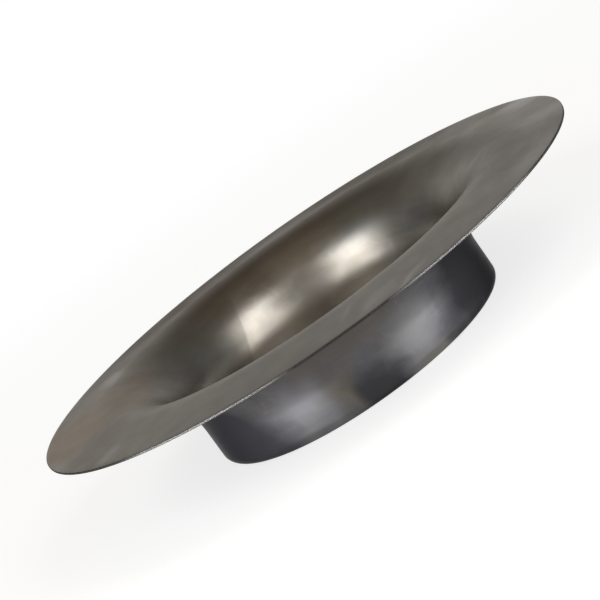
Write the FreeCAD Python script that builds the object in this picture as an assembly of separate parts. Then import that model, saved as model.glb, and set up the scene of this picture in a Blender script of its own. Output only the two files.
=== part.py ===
import FreeCAD, Part
import math
import os

# Deep drawn dome: one sheet steel pressing, all dimensions in mm.
# Origin: centre of the outside of the base. +Z: axis of revolution, towards the open side.

# Driving dimensions
SHEET = 1.5
BRIM_OUTER_R = 200.0
CUP_OUTER_R = 106.0
HEIGHT = 74.0
SHOULDER_TOP_R = 48.0
BRIM_DROOP_DEG = 4.0
BASE_CORNER_OUTER_R = 7.0

# Section angles, counted from +X towards +Z. Each arc has a seam on its way, which keeps its facets few
BASE_CORNER = (-90, -45, 0)
SHOULDER = (180, 125, 90 - BRIM_DROOP_DEG)
BRIM_START = SHOULDER[-1]


def at(r, z):
    """Point of the section at radius r and height z."""
    return FreeCAD.Vector(r, 0, z)


def on_circle(centre, radius, degrees):
    a = math.radians(degrees)
    return centre + at(radius * math.cos(a), radius * math.sin(a))


def arcs(centre, radius, angles):
    edges = []
    for start, end in zip(angles, angles[1:]):
        points = [on_circle(centre, radius, d) for d in (start, (start + end) / 2, end)]
        edges.append(Part.Arc(*points).toShape())
    return edges


def line(start, end):
    return Part.LineSegment(start, end).toShape()


# Both skins of the sheet share the centres of the base corner and of the shoulder
CORNER_CENTRE = at(CUP_OUTER_R - BASE_CORNER_OUTER_R, BASE_CORNER_OUTER_R)
SHOULDER_CENTRE = at(CUP_OUTER_R - SHEET + SHOULDER_TOP_R, HEIGHT - SHOULDER_TOP_R)

# Unit vectors along the brim, outwards, and square to it, upwards
ALONG_BRIM = on_circle(at(0, 0), 1, -BRIM_DROOP_DEG)
OFF_BRIM = on_circle(at(0, 0), 1, BRIM_START)


def skin(inset):
    """One skin from the axis to the brim: base, corner, wall, shoulder and brim.

    The inset is its distance inside the sheet from the outer skin, 0 or SHEET.
    """
    corner_r = BASE_CORNER_OUTER_R - inset
    shoulder_r = SHOULDER_TOP_R - SHEET + inset
    wall_r = CUP_OUTER_R - inset
    brim_start = on_circle(SHOULDER_CENTRE, shoulder_r, BRIM_START)
    brim_end = TRIM_TOP - OFF_BRIM * (SHEET - inset)
    edges = [line(at(0, inset), at(CORNER_CENTRE.x, inset))]
    edges += arcs(CORNER_CENTRE, corner_r, BASE_CORNER)
    edges.append(line(at(wall_r, CORNER_CENTRE.z), at(wall_r, SHOULDER_CENTRE.z)))
    edges += arcs(SHOULDER_CENTRE, shoulder_r, SHOULDER)
    edges.append(line(brim_start, brim_end))
    return edges, brim_end


# The brim is trimmed square to the sheet, and its top corner is the widest point of the dome
top_start = on_circle(SHOULDER_CENTRE, SHOULDER_TOP_R, BRIM_START)
TRIM_TOP = top_start + ALONG_BRIM * ((BRIM_OUTER_R - top_start.x) / ALONG_BRIM.x)

outer_skin, trim_under = skin(0)
inner_skin, trim_top = skin(SHEET)
closing = [line(trim_under, trim_top), line(at(0, 0), at(0, SHEET))]
wire = Part.Wire(Part.__sortEdges__(outer_skin + inner_skin + closing))
dome = Part.Face(wire).revolve(at(0, 0), at(0, 1), 360)

os.makedirs("parts", exist_ok=True)
dome.exportStep("parts/dome.step")
print("valid", dome.isValid(), "solids", len(dome.Solids), "volume", round(dome.Volume))
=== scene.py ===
import math

import bpy
from mathutils import Matrix, Vector


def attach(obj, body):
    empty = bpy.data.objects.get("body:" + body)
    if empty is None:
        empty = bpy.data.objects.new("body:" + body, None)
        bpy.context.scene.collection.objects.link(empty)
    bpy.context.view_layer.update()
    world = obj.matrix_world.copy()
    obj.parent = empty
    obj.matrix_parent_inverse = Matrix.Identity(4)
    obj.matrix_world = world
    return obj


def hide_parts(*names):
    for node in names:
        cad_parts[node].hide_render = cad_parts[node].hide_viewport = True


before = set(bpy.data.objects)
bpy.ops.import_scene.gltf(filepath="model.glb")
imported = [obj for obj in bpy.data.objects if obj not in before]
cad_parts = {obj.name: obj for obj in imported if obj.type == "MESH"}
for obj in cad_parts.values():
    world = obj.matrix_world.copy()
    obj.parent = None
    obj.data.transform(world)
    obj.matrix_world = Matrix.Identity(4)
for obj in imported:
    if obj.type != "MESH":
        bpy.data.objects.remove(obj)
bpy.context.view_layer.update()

# Sizes of the dome in metres, as in its CAD source
SHEET = 0.0015
BRIM_OUTER_R = 0.200
CUP_OUTER_R = 0.106
HEIGHT = 0.074
SHOULDER_TOP_R = 0.048
BRIM_DROOP = math.radians(4.0)
BASE_CORNER_R = 0.007
TRIM_ROUND = 0.00035

# Steps around the axis, and along each stretch of the section
SEGMENTS = 288
BASE_STEPS = 10
CORNER_STEPS = 10
WALL_STEPS = 4
SHOULDER_STEPS = 34
BRIM_STEPS = 12
TRIM_STEPS = 3

# The rings of faces on the base end at this radius, and a fan of triangles closes the middle
FAN_R = 0.004

# Material slots of the mesh
INSIDE = 0
OUTSIDE = 1
TRIMMED_EDGE = 2


# Shape

def on_circle(centre, radius, angle):
    return (centre[0] + radius * math.cos(angle), centre[1] + radius * math.sin(angle))


def arc_points(centre, radius, start, end, steps):
    return [on_circle(centre, radius, start + (end - start) * i / steps) for i in range(steps + 1)]


def line_points(a, b, steps):
    return [(a[0] + (b[0] - a[0]) * i / steps, a[1] + (b[1] - a[1]) * i / steps) for i in range(steps + 1)]


def skin_points(inset):
    """Section of one skin from near the axis to the start of the trimmed edge's rounding."""
    corner = (CUP_OUTER_R - BASE_CORNER_R, BASE_CORNER_R)
    shoulder = (CUP_OUTER_R - SHEET + SHOULDER_TOP_R, HEIGHT - SHOULDER_TOP_R)
    shoulder_r = SHOULDER_TOP_R - SHEET + inset
    wall_r = CUP_OUTER_R - inset
    brim_angle = math.pi / 2 - BRIM_DROOP
    points = line_points((FAN_R, inset), (corner[0], inset), BASE_STEPS)
    points += arc_points(corner, BASE_CORNER_R - inset, -math.pi / 2, 0, CORNER_STEPS)[1:]
    points += line_points((wall_r, corner[1]), (wall_r, shoulder[1]), WALL_STEPS)[1:]
    points += arc_points(shoulder, shoulder_r, math.pi, brim_angle, SHOULDER_STEPS)[1:]
    start = points[-1]
    along = (math.cos(BRIM_DROOP), -math.sin(BRIM_DROOP))
    top = on_circle(shoulder, SHOULDER_TOP_R, brim_angle)
    reach = (BRIM_OUTER_R - top[0]) / along[0] - TRIM_ROUND
    end = (start[0] + along[0] * reach, start[1] + along[1] * reach)
    points += line_points(start, end, BRIM_STEPS)[1:]
    return points


def dome_section():
    """Section from the underside of the base, round the trimmed edge, to the inside of the base.

    The second list gives the material slot of each stretch between two points.
    """
    outer = skin_points(0.0)
    inner = skin_points(SHEET)
    along = (math.cos(BRIM_DROOP), -math.sin(BRIM_DROOP))
    off = (math.sin(BRIM_DROOP), math.cos(BRIM_DROOP))
    low = (outer[-1][0] + off[0] * TRIM_ROUND, outer[-1][1] + off[1] * TRIM_ROUND)
    high = (inner[-1][0] - off[0] * TRIM_ROUND, inner[-1][1] - off[1] * TRIM_ROUND)
    down = math.atan2(-off[1], -off[0])
    outwards = math.atan2(along[1], along[0])
    up = math.atan2(off[1], off[0])
    trim = arc_points(low, TRIM_ROUND, down, outwards, TRIM_STEPS)[1:]
    trim += arc_points(high, TRIM_ROUND, outwards, up, TRIM_STEPS)[:-1]
    slots = [OUTSIDE] * (len(outer) - 1)
    slots += [TRIMMED_EDGE] * (len(trim) + 1)
    slots += [INSIDE] * (len(inner) - 1)
    return outer + trim + inner[::-1], slots


def revolve(section, section_slots):
    """Vertices, faces and slots of the section turned about the axis and closed at both ends."""
    verts = []
    for r, z in section:
        for k in range(SEGMENTS):
            turn = 2 * math.pi * k / SEGMENTS
            verts.append((r * math.cos(turn), r * math.sin(turn), z))
    faces = []
    slots = []
    for i, slot in enumerate(section_slots):
        ring = i * SEGMENTS
        next_ring = ring + SEGMENTS
        for k in range(SEGMENTS):
            after = (k + 1) % SEGMENTS
            faces.append((ring + k, ring + after, next_ring + after, next_ring + k))
            slots.append(slot)
    low_centre = len(verts)
    high_centre = low_centre + 1
    verts += [(0, 0, 0), (0, 0, SHEET)]
    last_ring = (len(section) - 1) * SEGMENTS
    for k in range(SEGMENTS):
        after = (k + 1) % SEGMENTS
        faces.append((low_centre, after, k))
        slots.append(OUTSIDE)
        faces.append((high_centre, last_ring + k, last_ring + after))
        slots.append(INSIDE)
    return verts, faces, slots


def make_dome():
    verts, faces, slots = revolve(*dome_section())
    mesh = bpy.data.meshes.new("dome_steel")
    mesh.from_pydata(verts, [], faces)
    mesh.validate()
    mesh.polygons.foreach_set("material_index", slots)
    mesh.polygons.foreach_set("use_smooth", [True] * len(faces))
    mesh.update()
    dome = bpy.data.objects.new("dome_steel", mesh)
    bpy.context.collection.objects.link(dome)
    return dome


# Nodes

# Colour sockets of a Mix node
MIX_A = 6
MIX_B = 7
MIX_RESULT = 2

# Most values of a noise lie in this range
NOISE = (0.3, 0.7)
NONE_TO_ALL = (0.0, 1.0)
ALL_TO_NONE = (1.0, 0.0)


def rgb(r, g, b):
    return (r, g, b, 1.0)


class Nodes:
    """Short ways to add nodes to a material or a world."""

    def __init__(self, owner):
        owner.use_nodes = True
        self.owner = owner
        self.tree = owner.node_tree
        self.tree.nodes.clear()

    def add(self, kind, **props):
        node = self.tree.nodes.new(kind)
        for key, value in props.items():
            setattr(node, key, value)
        return node

    def put(self, socket, value):
        if isinstance(value, bpy.types.NodeSocket):
            self.tree.links.new(value, socket)
        else:
            socket.default_value = value

    def math(self, operation, *values):
        node = self.add("ShaderNodeMath", operation=operation)
        for socket, value in zip(node.inputs, values):
            self.put(socket, value)
        return node.outputs[0]

    def total(self, first, *others):
        for other in others:
            first = self.math("ADD", first, other)
        return first

    def join(self, x, y, z):
        node = self.add("ShaderNodeCombineXYZ")
        for socket, value in zip(node.inputs, (x, y, z)):
            self.put(socket, value)
        return node.outputs[0]

    def noise(self, vector, scale, detail, rough, distortion=0.0):
        node = self.add("ShaderNodeTexNoise")
        self.put(node.inputs["Vector"], vector)
        self.put(node.inputs["Scale"], scale)
        self.put(node.inputs["Detail"], detail)
        self.put(node.inputs["Roughness"], rough)
        self.put(node.inputs["Distortion"], distortion)
        return node.outputs["Fac"]

    def spread(self, value, source, target):
        """Maps the source range onto the target range and holds the value at its ends."""
        node = self.add("ShaderNodeMapRange", clamp=True)
        for socket, v in zip(node.inputs, (value, *source, *target)):
            self.put(socket, v)
        return node.outputs[0]

    def mix(self, factor, a, b, blend="MIX"):
        node = self.add("ShaderNodeMix", data_type="RGBA", blend_type=blend)
        self.put(node.inputs["Factor"], factor)
        self.put(node.inputs[MIX_A], a)
        self.put(node.inputs[MIX_B], b)
        return node.outputs[MIX_RESULT]

    def bump(self, height, strength, depth, normal=None):
        node = self.add("ShaderNodeBump")
        self.put(node.inputs["Height"], height)
        self.put(node.inputs["Strength"], strength)
        self.put(node.inputs["Distance"], depth)
        if normal is not None:
            self.put(node.inputs["Normal"], normal)
        return node.outputs[0]


class Spot:
    """The shaded point: its place on the dome, its bearing as cosine and sine, its radius and height."""

    def __init__(self, n):
        self.nodes = n
        self.place = n.add("ShaderNodeTexCoord").outputs["Object"]
        split = n.add("ShaderNodeSeparateXYZ")
        n.put(split.inputs[0], self.place)
        x, y, self.z = split.outputs
        self.radius = n.math("SQRT", n.total(n.math("MULTIPLY", x, x), n.math("MULTIPLY", y, y)))
        self.cosine = n.math("DIVIDE", x, self.radius)
        self.sine = n.math("DIVIDE", y, self.radius)

    def ring(self, across, along):
        """Noise coordinates drawn out around the axis, with one scale across the section and one along it."""
        n = self.nodes
        run = n.math("SUBTRACT", self.radius, self.z)
        return n.join(n.math("MULTIPLY", self.cosine, along), n.math("MULTIPLY", self.sine, along),
                      n.math("MULTIPLY", run, across))


# Steel

GRAIN_DEPTH = 0.00006
WAVE_DEPTH = 0.0012
WAVE_STRENGTH = 0.5
SCRATCH_TURN = (0.3, 0.2, 0.9)
SCRATCH_STRETCH = (1.0, 9.0, 3.0)
SCRATCH_WIDTH = 0.006


def scratches(n, spot, smudges):
    """Hairlines where a stretched noise crosses its middle, in the smudged areas only."""
    stretched = n.add("ShaderNodeMapping")
    n.put(stretched.inputs["Vector"], spot.place)
    n.put(stretched.inputs["Rotation"], SCRATCH_TURN)
    n.put(stretched.inputs["Scale"], SCRATCH_STRETCH)
    noise = n.noise(stretched.outputs[0], scale=22.0, detail=2.0, rough=0.5, distortion=0.3)
    from_middle = n.math("ABSOLUTE", n.math("SUBTRACT", noise, 0.5))
    hairline = n.spread(from_middle, (0.0, SCRATCH_WIDTH), ALL_TO_NONE)
    return n.math("MULTIPLY", hairline, n.spread(smudges, (0.5, 0.6), NONE_TO_ALL))


def scuffs(n, spot):
    """Small rubbed spots that gather in a few areas."""
    spots = n.noise(spot.place, scale=75.0, detail=5.0, rough=0.6, distortion=1.6)
    areas = n.noise(spot.place, scale=9.0, detail=1.0, rough=0.4, distortion=0.3)
    return n.math("MULTIPLY", n.spread(spots, (0.54, 0.68), (0.0, 0.6)),
                  n.spread(areas, (0.46, 0.56), NONE_TO_ALL))


def steel(name, light, dark, cool, rough, edge_tint, cloud_scale, grain, painted_shading, painted_dimming=()):
    """Bare steel with a cloudy tone, drawn streaks around the axis, smudges, scratches and slight waves."""
    n = Nodes(bpy.data.materials.new(name))
    spot = Spot(n)
    clouds = n.noise(spot.place, scale=cloud_scale, detail=5.0, rough=0.6, distortion=0.6)
    tint = n.noise(spot.place, scale=cloud_scale * 0.55, detail=3.0, rough=0.5, distortion=1.2)
    smudges = n.noise(spot.place, scale=55.0, detail=6.0, rough=0.65, distortion=0.4)
    bands = n.noise(spot.ring(across=70.0, along=0.9), scale=1.0, detail=3.0, rough=0.55)
    streaks = n.noise(spot.ring(across=1300.0, along=5.0), scale=1.0, detail=3.0, rough=0.6)
    scratch = scratches(n, spot, smudges)

    tone = n.total(n.spread(clouds, NOISE, (-0.5, 0.5)), n.spread(bands, NOISE, (-0.22, 0.22)),
                   n.spread(streaks, NOISE, (-0.2, 0.2)), n.spread(smudges, (0.35, 0.7), (0.16, -0.16)),
                   n.math("MULTIPLY", scratch, 0.45), scuffs(n, spot))
    colour = n.mix(n.spread(tone, (-0.75, 0.75), NONE_TO_ALL), rgb(*dark), rgb(*light))
    cooler = n.mix(1.0, colour, rgb(*cool), "MULTIPLY")
    colour = n.mix(n.spread(tint, (0.42, 0.66), NONE_TO_ALL), colour, cooler)
    # Patches of painted light and shade laid over the steel's colour
    for shading_patch in painted_shading:
        colour = shading_patch(n, colour, spot)
    # Patches of painted shade that lower the edge tint and so dim the reflection at grazing angles
    edge_colour = rgb(edge_tint, edge_tint, edge_tint)
    for shading_patch in painted_dimming:
        edge_colour = shading_patch(n, edge_colour, spot)
    roughness = n.total(rough, n.spread(smudges, (0.3, 0.75), (-0.03, 0.05)),
                        n.spread(streaks, NOISE, (-0.02, 0.02)))

    bsdf = n.add("ShaderNodeBsdfPrincipled")
    n.put(bsdf.inputs["Metallic"], 1.0)
    n.put(bsdf.inputs["Base Color"], colour)
    n.put(bsdf.inputs["Specular Tint"], edge_colour)
    n.put(bsdf.inputs["Roughness"], roughness)
    if grain > 0.0:
        fine = n.noise(spot.ring(across=3600.0, along=26.0), scale=1.0, detail=2.0, rough=0.5)
        raised = n.total(n.math("MULTIPLY", streaks, 0.5), n.math("MULTIPLY", fine, 0.25))
        raised = n.math("SUBTRACT", raised, n.math("MULTIPLY", scratch, 0.5))
        grained = n.bump(raised, grain, GRAIN_DEPTH)
        waves = n.noise(spot.place, scale=17.0, detail=1.0, rough=0.4, distortion=0.5)
        n.put(bsdf.inputs["Normal"], n.bump(waves, WAVE_STRENGTH, WAVE_DEPTH, grained))
    out = n.add("ShaderNodeOutputMaterial")
    n.put(out.inputs["Surface"], bsdf.outputs[0])
    return n.owner


# The noise that moves the outline of a patch of painted light or shade
PAINTED_PATCH_NOISE = 2.6
PAINTED_PATCH_NOISE_PER_METRE_UP = 14.0

# Shares of half a patch's width across the section: how far it moves, and where it has its full strength
PAINTED_PATCH_WANDER_ACROSS = 0.2
PAINTED_PATCH_FULL_WITHIN = 0.3

# Patches of painted light and shade on the walls fade out between these radii on the base
BASE_FADE = (0.082, 0.1)


def painted_light_and_shade(degrees, before, after, low, high, colour, strength, wobble=7.0, lean=0.0, on_brim=False):
    """A patch of painted light or shade around one bearing. Each side is (degrees to its outer limit, degrees
    over which it fades).

    It lies between two heights, or on the brim between two radii. Its outline wanders by the wobble in
    degrees. It leans by so many degrees for each metre across the section.
    """
    ca = math.cos(math.radians(degrees))
    sa = math.sin(math.radians(degrees))
    middle = (low + high) / 2
    half = (high - low) / 2

    def paint(n, below, spot):
        facing = n.total(n.math("MULTIPLY", spot.cosine, ca), n.math("MULTIPLY", spot.sine, sa))
        aside = n.math("SUBTRACT", n.math("MULTIPLY", spot.sine, ca), n.math("MULTIPLY", spot.cosine, sa))
        around = n.join(spot.cosine, spot.sine, n.math("MULTIPLY", spot.z, PAINTED_PATCH_NOISE_PER_METRE_UP))
        wander = n.noise(around, scale=PAINTED_PATCH_NOISE, detail=2.0, rough=0.5, distortion=0.4)
        across = spot.radius if on_brim else spot.z
        leaning = n.math("MULTIPLY", n.math("SUBTRACT", across, middle), lean)
        bearing = n.total(n.math("DEGREES", n.math("ARCTAN2", aside, facing)),
                          n.spread(wander, NOISE, (-wobble, wobble)), leaning)
        started = n.spread(bearing, (-before[0], before[1] - before[0]), NONE_TO_ALL)
        ended = n.spread(bearing, (after[0] - after[1], after[0]), ALL_TO_NONE)
        shift = PAINTED_PATCH_WANDER_ACROSS * half
        level = n.total(across, n.spread(wander, NOISE, (-shift, shift)))
        from_middle = n.math("ABSOLUTE", n.math("SUBTRACT", level, middle))
        inside = n.spread(from_middle, (PAINTED_PATCH_FULL_WITHIN * half, half), ALL_TO_NONE)
        off_base = n.spread(spot.radius, BASE_FADE, (0.0, strength))
        amount = n.math("MULTIPLY", n.math("MULTIPLY", started, ended), n.math("MULTIPLY", inside, off_base))
        return n.mix(amount, below, rgb(*colour))

    return paint


# A patch of painted light or shade on the brim, placed between two radii
def brim_painted_light_and_shade(degrees, before, after, low, high, colour, strength, wobble, lean=0.0):
    return painted_light_and_shade(degrees, before, after, low, high, colour, strength, wobble, lean, on_brim=True)


# Bearings run from +X at 0 to +Y at 90. The near side is at -90, the far side at 90 and the left at 180.

def inside_steel():
    painted_shading = [
        # Far side and flanks of the bowl: lighter and cooler patches of painted reflection
        painted_light_and_shade(90, (46, 30), (44, 30), -0.01, 0.05, (0.62, 0.565, 0.485), 0.9),
        painted_light_and_shade(84, (16, 12), (16, 12), 0.035, 0.075, (0.52, 0.485, 0.43), 0.6),
        painted_light_and_shade(34, (22, 14), (18, 14), 0.045, 0.073, (0.5, 0.48, 0.45), 0.75),
        painted_light_and_shade(132, (9, 8), (16, 10), 0.03, 0.062, (0.55, 0.51, 0.46), 0.5),
        painted_light_and_shade(46, (16, 12), (18, 14), 0.04, 0.074, (0.31, 0.31, 0.295), 0.6),
        painted_light_and_shade(60, (18, 12), (20, 12), 0.044, 0.084, (0.335, 0.35, 0.34), 0.8),
        painted_light_and_shade(32, (14, 10), (12, 9), 0.03, 0.062, (0.46, 0.46, 0.44), 0.5),
        painted_light_and_shade(142, (24, 12), (14, 12), 0.033, 0.078, (0.285, 0.293, 0.28), 0.75),
        # Painted shade that gives the left highlight its slanted sharp edge
        painted_light_and_shade(119, (1.2, 1.2), (26, 20), 0.012, 0.076, (0.22, 0.205, 0.18), 0.7, 0.5, 290.0),
        # Crest and brim of the far side: darker patches of painted shade
        painted_light_and_shade(88, (55, 25), (52, 25), 0.0665, 0.08, (0.24, 0.21, 0.175), 0.65, 4.0),
        brim_painted_light_and_shade(95, (55, 30), (60, 30), 0.15, 0.26, (0.13, 0.105, 0.08), 0.6, 4.0),
        # Crest of the left, near and right sides: lighter patches of painted light, the left one warm
        painted_light_and_shade(176, (26, 18), (30, 20), 0.062, 0.084, (0.47, 0.37, 0.265), 0.6),
        painted_light_and_shade(-158, (14, 10), (20, 14), 0.064, 0.082, (0.36, 0.33, 0.28), 0.4),
        painted_light_and_shade(-82, (75, 30), (60, 30), 0.0665, 0.08, (0.45, 0.43, 0.405), 0.5),
        painted_light_and_shade(0, (28, 20), (22, 16), 0.055, 0.087, (0.5, 0.48, 0.46), 0.5),
        # Brim, right end: lighter and darker patches of painted reflection and shade
        brim_painted_light_and_shade(18, (9, 7), (8, 6), 0.175, 0.215, (0.9, 0.89, 0.895), 0.55, 5.0),
        brim_painted_light_and_shade(-9, (12, 9), (10, 8), 0.165, 0.212, (0.66, 0.635, 0.63), 0.45, 5.0),
        brim_painted_light_and_shade(29, (5, 4), (5, 4), 0.185, 0.21, (0.34, 0.33, 0.32), 0.5, 3.0),
        brim_painted_light_and_shade(25, (7, 6), (7, 6), 0.155, 0.187, (0.46, 0.42, 0.37), 0.5, 4.0),
        brim_painted_light_and_shade(4, (16, 12), (14, 10), 0.122, 0.17, (0.3, 0.295, 0.28), 0.45, 5.0),
        brim_painted_light_and_shade(-4, (3, 2.5), (4, 3), 0.122, 0.154, (0.6, 0.59, 0.58), 0.35, 3.0),
        # Brim, near side: light streaks and one darker patch, partly smears on the steel and partly painted
        # reflection
        brim_painted_light_and_shade(-79, (4, 3.5), (6, 5), 0.168, 0.2, (0.64, 0.62, 0.605), 0.35, 5.0, 300.0),
        brim_painted_light_and_shade(-73, (1.8, 1.6), (3, 2.6), 0.18, 0.206, (0.72, 0.7, 0.685), 0.38, 5.0, 420.0),
        brim_painted_light_and_shade(-86, (1.8, 1.6), (3, 2.6), 0.158, 0.186, (0.6, 0.58, 0.565), 0.32, 5.0, 320.0),
        brim_painted_light_and_shade(-66, (3, 2), (4, 3), 0.162, 0.186, (0.33, 0.325, 0.315), 0.4, 3.0, 260.0),
        # Brim, left end: lighter and darker patches of painted reflection and shade
        brim_painted_light_and_shade(-165, (11, 8), (9, 6), 0.189, 0.21, (0.52, 0.52, 0.5), 0.5, 3.0),
        brim_painted_light_and_shade(-146, (2.5, 2), (2.5, 2), 0.176, 0.2, (0.58, 0.57, 0.56), 0.5, 1.5),
        brim_painted_light_and_shade(138, (16, 12), (14, 10), 0.14, 0.22, (0.32, 0.3, 0.275), 0.4, 4.0),
        brim_painted_light_and_shade(151, (3, 2.5), (4, 3), 0.15, 0.182, (0.7, 0.67, 0.66), 0.5, 3.0, 160.0),
        # Brim, broad areas of both ends: darker and lighter patches of painted shade and reflection
        brim_painted_light_and_shade(-3, (32, 18), (28, 16), 0.124, 0.172, (0.2, 0.195, 0.186), 0.5, 5.0),
        brim_painted_light_and_shade(-35, (12, 9), (12, 9), 0.176, 0.216, (0.6, 0.585, 0.58), 0.45, 4.0),
        brim_painted_light_and_shade(-175, (22, 16), (24, 18), 0.115, 0.159, (0.225, 0.212, 0.192), 0.45, 5.0),
    ]
    # Painted shade: a lower edge tint dims the far brim's reflection at grazing angles
    painted_dim_far_brim = brim_painted_light_and_shade(92, (62, 26), (62, 26), 0.135, 0.27, (0.44, 0.425, 0.41), 1.0, 4.0)
    return steel("steel_inside", light=(0.39, 0.365, 0.332), dark=(0.25, 0.23, 0.203), cool=(0.93, 0.97, 1.0),
                 rough=0.34, edge_tint=0.6, cloud_scale=11.0, grain=0.25, painted_shading=painted_shading, painted_dimming=[painted_dim_far_brim])


def outside_steel():
    painted_shading = [
        # Near side of the cup: the bluish and pale patches are painted reflections of the lamps and the
        # floor, the dark ones painted shade
        painted_light_and_shade(-113, (15, 9), (11, 6), 0.004, 0.05, (0.168, 0.165, 0.175), 0.72, 3.0),
        painted_light_and_shade(-68, (12, 8), (12, 8), 0.002, 0.048, (0.175, 0.174, 0.177), 0.75, 4.0),
        painted_light_and_shade(-61, (20, 14), (12, 9), -0.014, 0.012, (0.21, 0.2, 0.18), 0.85),
        painted_light_and_shade(-117, (16, 12), (12, 9), -0.012, 0.01, (0.18, 0.175, 0.168), 0.8),
        painted_light_and_shade(-100, (10, 8), (10, 8), -0.004, 0.036, (0.115, 0.1, 0.08), 0.8),
        painted_light_and_shade(-87, (14, 9), (16, 9), -0.016, 0.034, (0.036, 0.036, 0.038), 0.9),
        painted_light_and_shade(-86, (13, 7), (14, 7), -0.02, 0.006, (0.02, 0.02, 0.02), 0.6),
        # Left and right flanks: dark patches of painted shade
        painted_light_and_shade(-155, (60, 30), (32, 13), -0.04, 0.09, (0.049, 0.049, 0.057), 0.9, 3.0, 380.0),
        painted_light_and_shade(-20, (37, 12), (60, 30), -0.04, 0.11, (0.033, 0.033, 0.036), 0.95, 4.0, -120.0),
        # Near side under the shoulder: a warm brown band of painted shade
        painted_light_and_shade(-90, (38, 24), (34, 24), 0.028, 0.09, (0.1, 0.088, 0.075), 0.85),
    ]
    # Painted shade: a lower edge tint dims the right flank's reflection at grazing angles
    painted_dim_right_flank = painted_light_and_shade(-5, (30, 22), (60, 20), -0.05, 0.12, (0.39, 0.39, 0.39), 1.0, 4.0)
    # The outside's tones are darker and cooler than the inside's and its edge tint lower: painted shade that
    # keeps the floor's reflection dim on the cup
    return steel("steel_outside", light=(0.135, 0.133, 0.138), dark=(0.066, 0.064, 0.066),
                 cool=(0.94, 0.97, 1.04), rough=0.34, edge_tint=0.45, cloud_scale=17.0, grain=0.2,
                 painted_shading=painted_shading, painted_dimming=[painted_dim_right_flank])


def trimmed_edge_steel():
    """The edge is left bright between three darker stretches of painted shade."""
    painted_shading = [
        painted_light_and_shade(-92, (15, 6), (19, 6), 0.05, 0.09, (0.03, 0.029, 0.028), 0.9, 3.0),
        painted_light_and_shade(-160, (32, 12), (26, 8), 0.05, 0.09, (0.04, 0.039, 0.037), 0.85, 4.0),
        painted_light_and_shade(-14, (36, 8), (30, 10), 0.05, 0.09, (0.04, 0.039, 0.037), 0.85, 4.0),
    ]
    return steel("steel_trimmed_edge", light=(0.19, 0.187, 0.184), dark=(0.14, 0.137, 0.134),
                 cool=(0.95, 0.98, 1.0), rough=0.55, edge_tint=0.6, cloud_scale=14.0, grain=0.0, painted_shading=painted_shading)


dome = make_dome()
dome.data.materials.append(inside_steel())
dome.data.materials.append(outside_steel())
dome.data.materials.append(trimmed_edge_steel())
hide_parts("dome")
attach(dome, "root")


# Floor

FLOOR_HALF_SIZE = 60.0
FLOOR_DROP = 0.0002

# From the first of these distances to the second the floor turns from a grey that takes a shadow to white
FLOOR_FADE = (0.3, 1.1)
FLOOR_GREY = (0.42, 0.0)
FLOOR_GLOW = (0.74, 1.0)


def floor_white():
    n = Nodes(bpy.data.materials.new("studio_floor_white"))
    place = n.add("ShaderNodeTexCoord").outputs["Object"]
    length = n.add("ShaderNodeVectorMath", operation="LENGTH")
    n.put(length.inputs[0], place)
    distance = length.outputs["Value"]
    diffuse = n.add("ShaderNodeBsdfDiffuse")
    n.put(diffuse.inputs["Color"], n.spread(distance, FLOOR_FADE, FLOOR_GREY))
    ray = n.add("ShaderNodeLightPath").outputs
    mirrored = n.math("MAXIMUM", ray["Is Glossy Ray"], ray["Is Transmission Ray"])
    seen = n.math("MAXIMUM", ray["Is Camera Ray"], mirrored)
    glow = n.add("ShaderNodeEmission")
    n.put(glow.inputs["Strength"], n.math("MULTIPLY", seen, n.spread(distance, FLOOR_FADE, FLOOR_GLOW)))
    both = n.add("ShaderNodeAddShader")
    n.put(both.inputs[0], diffuse.outputs[0])
    n.put(both.inputs[1], glow.outputs[0])
    out = n.add("ShaderNodeOutputMaterial")
    n.put(out.inputs["Surface"], both.outputs[0])
    return n.owner


def make_floor():
    half = FLOOR_HALF_SIZE
    mesh = bpy.data.meshes.new("studio_floor")
    corners = [(-half, -half, 0), (half, -half, 0), (half, half, 0), (-half, half, 0)]
    mesh.from_pydata(corners, [], [(0, 1, 2, 3)])
    mesh.materials.append(floor_white())
    floor = bpy.data.objects.new("studio_floor", mesh)
    floor.location.z = -FLOOR_DROP
    bpy.context.collection.objects.link(floor)
    return floor


make_floor()


# Light

LAMP_AIM = Vector((0, 0, 0.05))
WARM = (1.0, 0.995, 0.985)
NEUTRAL = (1.0, 1.0, 1.0)
ROOM_LOW = rgb(0.122, 0.12, 0.118)
ROOM_HIGH = rgb(0.16, 0.13, 0.095)
BACKDROP = rgb(0.72, 0.7, 0.67)


def direction(azimuth, elevation):
    """Unit vector from the dome, azimuth 0 towards the camera and 90 towards +X."""
    a = math.radians(azimuth)
    e = math.radians(elevation)
    return Vector((math.sin(a) * math.cos(e), -math.cos(a) * math.cos(e), math.sin(e)))


def softbox(name, azimuth, elevation, distance, width, height, radiance, colour):
    lamp = bpy.data.lights.new(name, "AREA")
    lamp.shape = "RECTANGLE"
    lamp.size = width
    lamp.size_y = height
    lamp.energy = radiance * math.pi * width * height
    lamp.color = colour
    box = bpy.data.objects.new(name, lamp)
    away = direction(azimuth, elevation)
    box.location = LAMP_AIM + away * distance
    box.rotation_mode = "QUATERNION"
    box.rotation_quaternion = away.to_track_quat("Z", "Y")
    bpy.context.collection.objects.link(box)


for side, name in ((-1, "left"), (1, "right")):
    softbox("softbox_" + name, side * 50, 39, 2.5, 1.15, 1.4, 3.7, WARM)
    softbox("fill_" + name, side * 28, 17, 2.5, 0.8, 1.1, 1.7, WARM)
    softbox("low_strip_" + name, side * 50, -1.8, 0.55, 0.36, 0.055, 18.0, NEUTRAL)
    softbox("far_strip_" + name, side * 52, 9, 2.5, 0.8, 0.55, 6.0, NEUTRAL)


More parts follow.
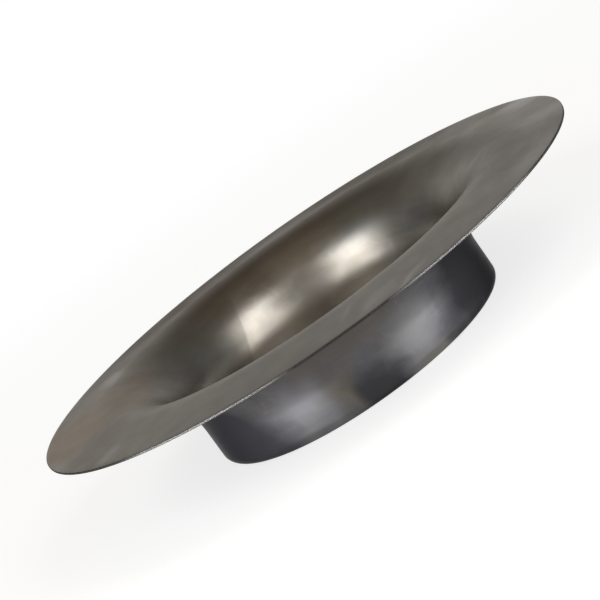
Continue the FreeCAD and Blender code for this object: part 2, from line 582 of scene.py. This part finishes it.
def make_world():
    """A dim studio with a pale backdrop behind the dome, seen from the camera."""
    n = Nodes(bpy.data.worlds.new("studio"))
    split = n.add("ShaderNodeSeparateXYZ")
    n.put(split.inputs[0], n.add("ShaderNodeTexCoord").outputs["Generated"])
    behind = n.spread(split.outputs["Y"], (0.5, 0.85), NONE_TO_ALL)
    low = n.spread(split.outputs["Z"], (0.25, 0.7), ALL_TO_NONE)
    above = n.spread(split.outputs["Z"], (0.45, 0.9), NONE_TO_ALL)
    room = n.mix(above, ROOM_LOW, ROOM_HIGH)
    back = n.add("ShaderNodeBackground")
    n.put(back.inputs["Color"], n.mix(n.math("MULTIPLY", behind, low), room, BACKDROP))
    out = n.add("ShaderNodeOutputWorld")
    n.put(out.inputs["Surface"], back.outputs[0])
    return n.owner


bpy.context.scene.world = make_world()


# Camera, at the photograph's distance and height, and rolled as the photograph is

RIM_HEIGHT = 0.0708
CAMERA_DISTANCE = 1.6842
CAMERA_ELEVATION = 11.1823
CAMERA_ROLL = 35.4848
CAMERA_LENS = 157.73
SENSOR_WIDTH = 36.0
CLIP_START = 0.05
CLIP_END = 200.0

# The point aimed at, in metres from the middle of the rim, across and down in the level view
AIM_RIGHT = -0.00813
AIM_DOWN = 0.01092


def make_camera():
    rim = Vector((0, 0, RIM_HEIGHT))
    right = Vector((1, 0, 0))
    back_to_camera = direction(0, CAMERA_ELEVATION)
    eye = rim + back_to_camera * CAMERA_DISTANCE
    down = (-back_to_camera).cross(right)
    aim = rim + right * AIM_RIGHT + down * AIM_DOWN
    looking = (aim - eye).normalized()
    level = looking.cross(Vector((0, 0, 1))).normalized()
    above = level.cross(looking)
    axes = Matrix((level, above, -looking)).transposed().to_4x4()
    data = bpy.data.cameras.new("camera")
    data.lens = CAMERA_LENS
    data.sensor_width = SENSOR_WIDTH
    data.clip_start = CLIP_START
    data.clip_end = CLIP_END
    camera = bpy.data.objects.new("camera", data)
    camera.matrix_world = Matrix.Translation(eye) @ axes @ Matrix.Rotation(math.radians(-CAMERA_ROLL), 4, "Z")
    bpy.context.collection.objects.link(camera)
    return camera


bpy.context.scene.camera = make_camera()
bpy.context.scene.view_settings.view_transform = "Standard"
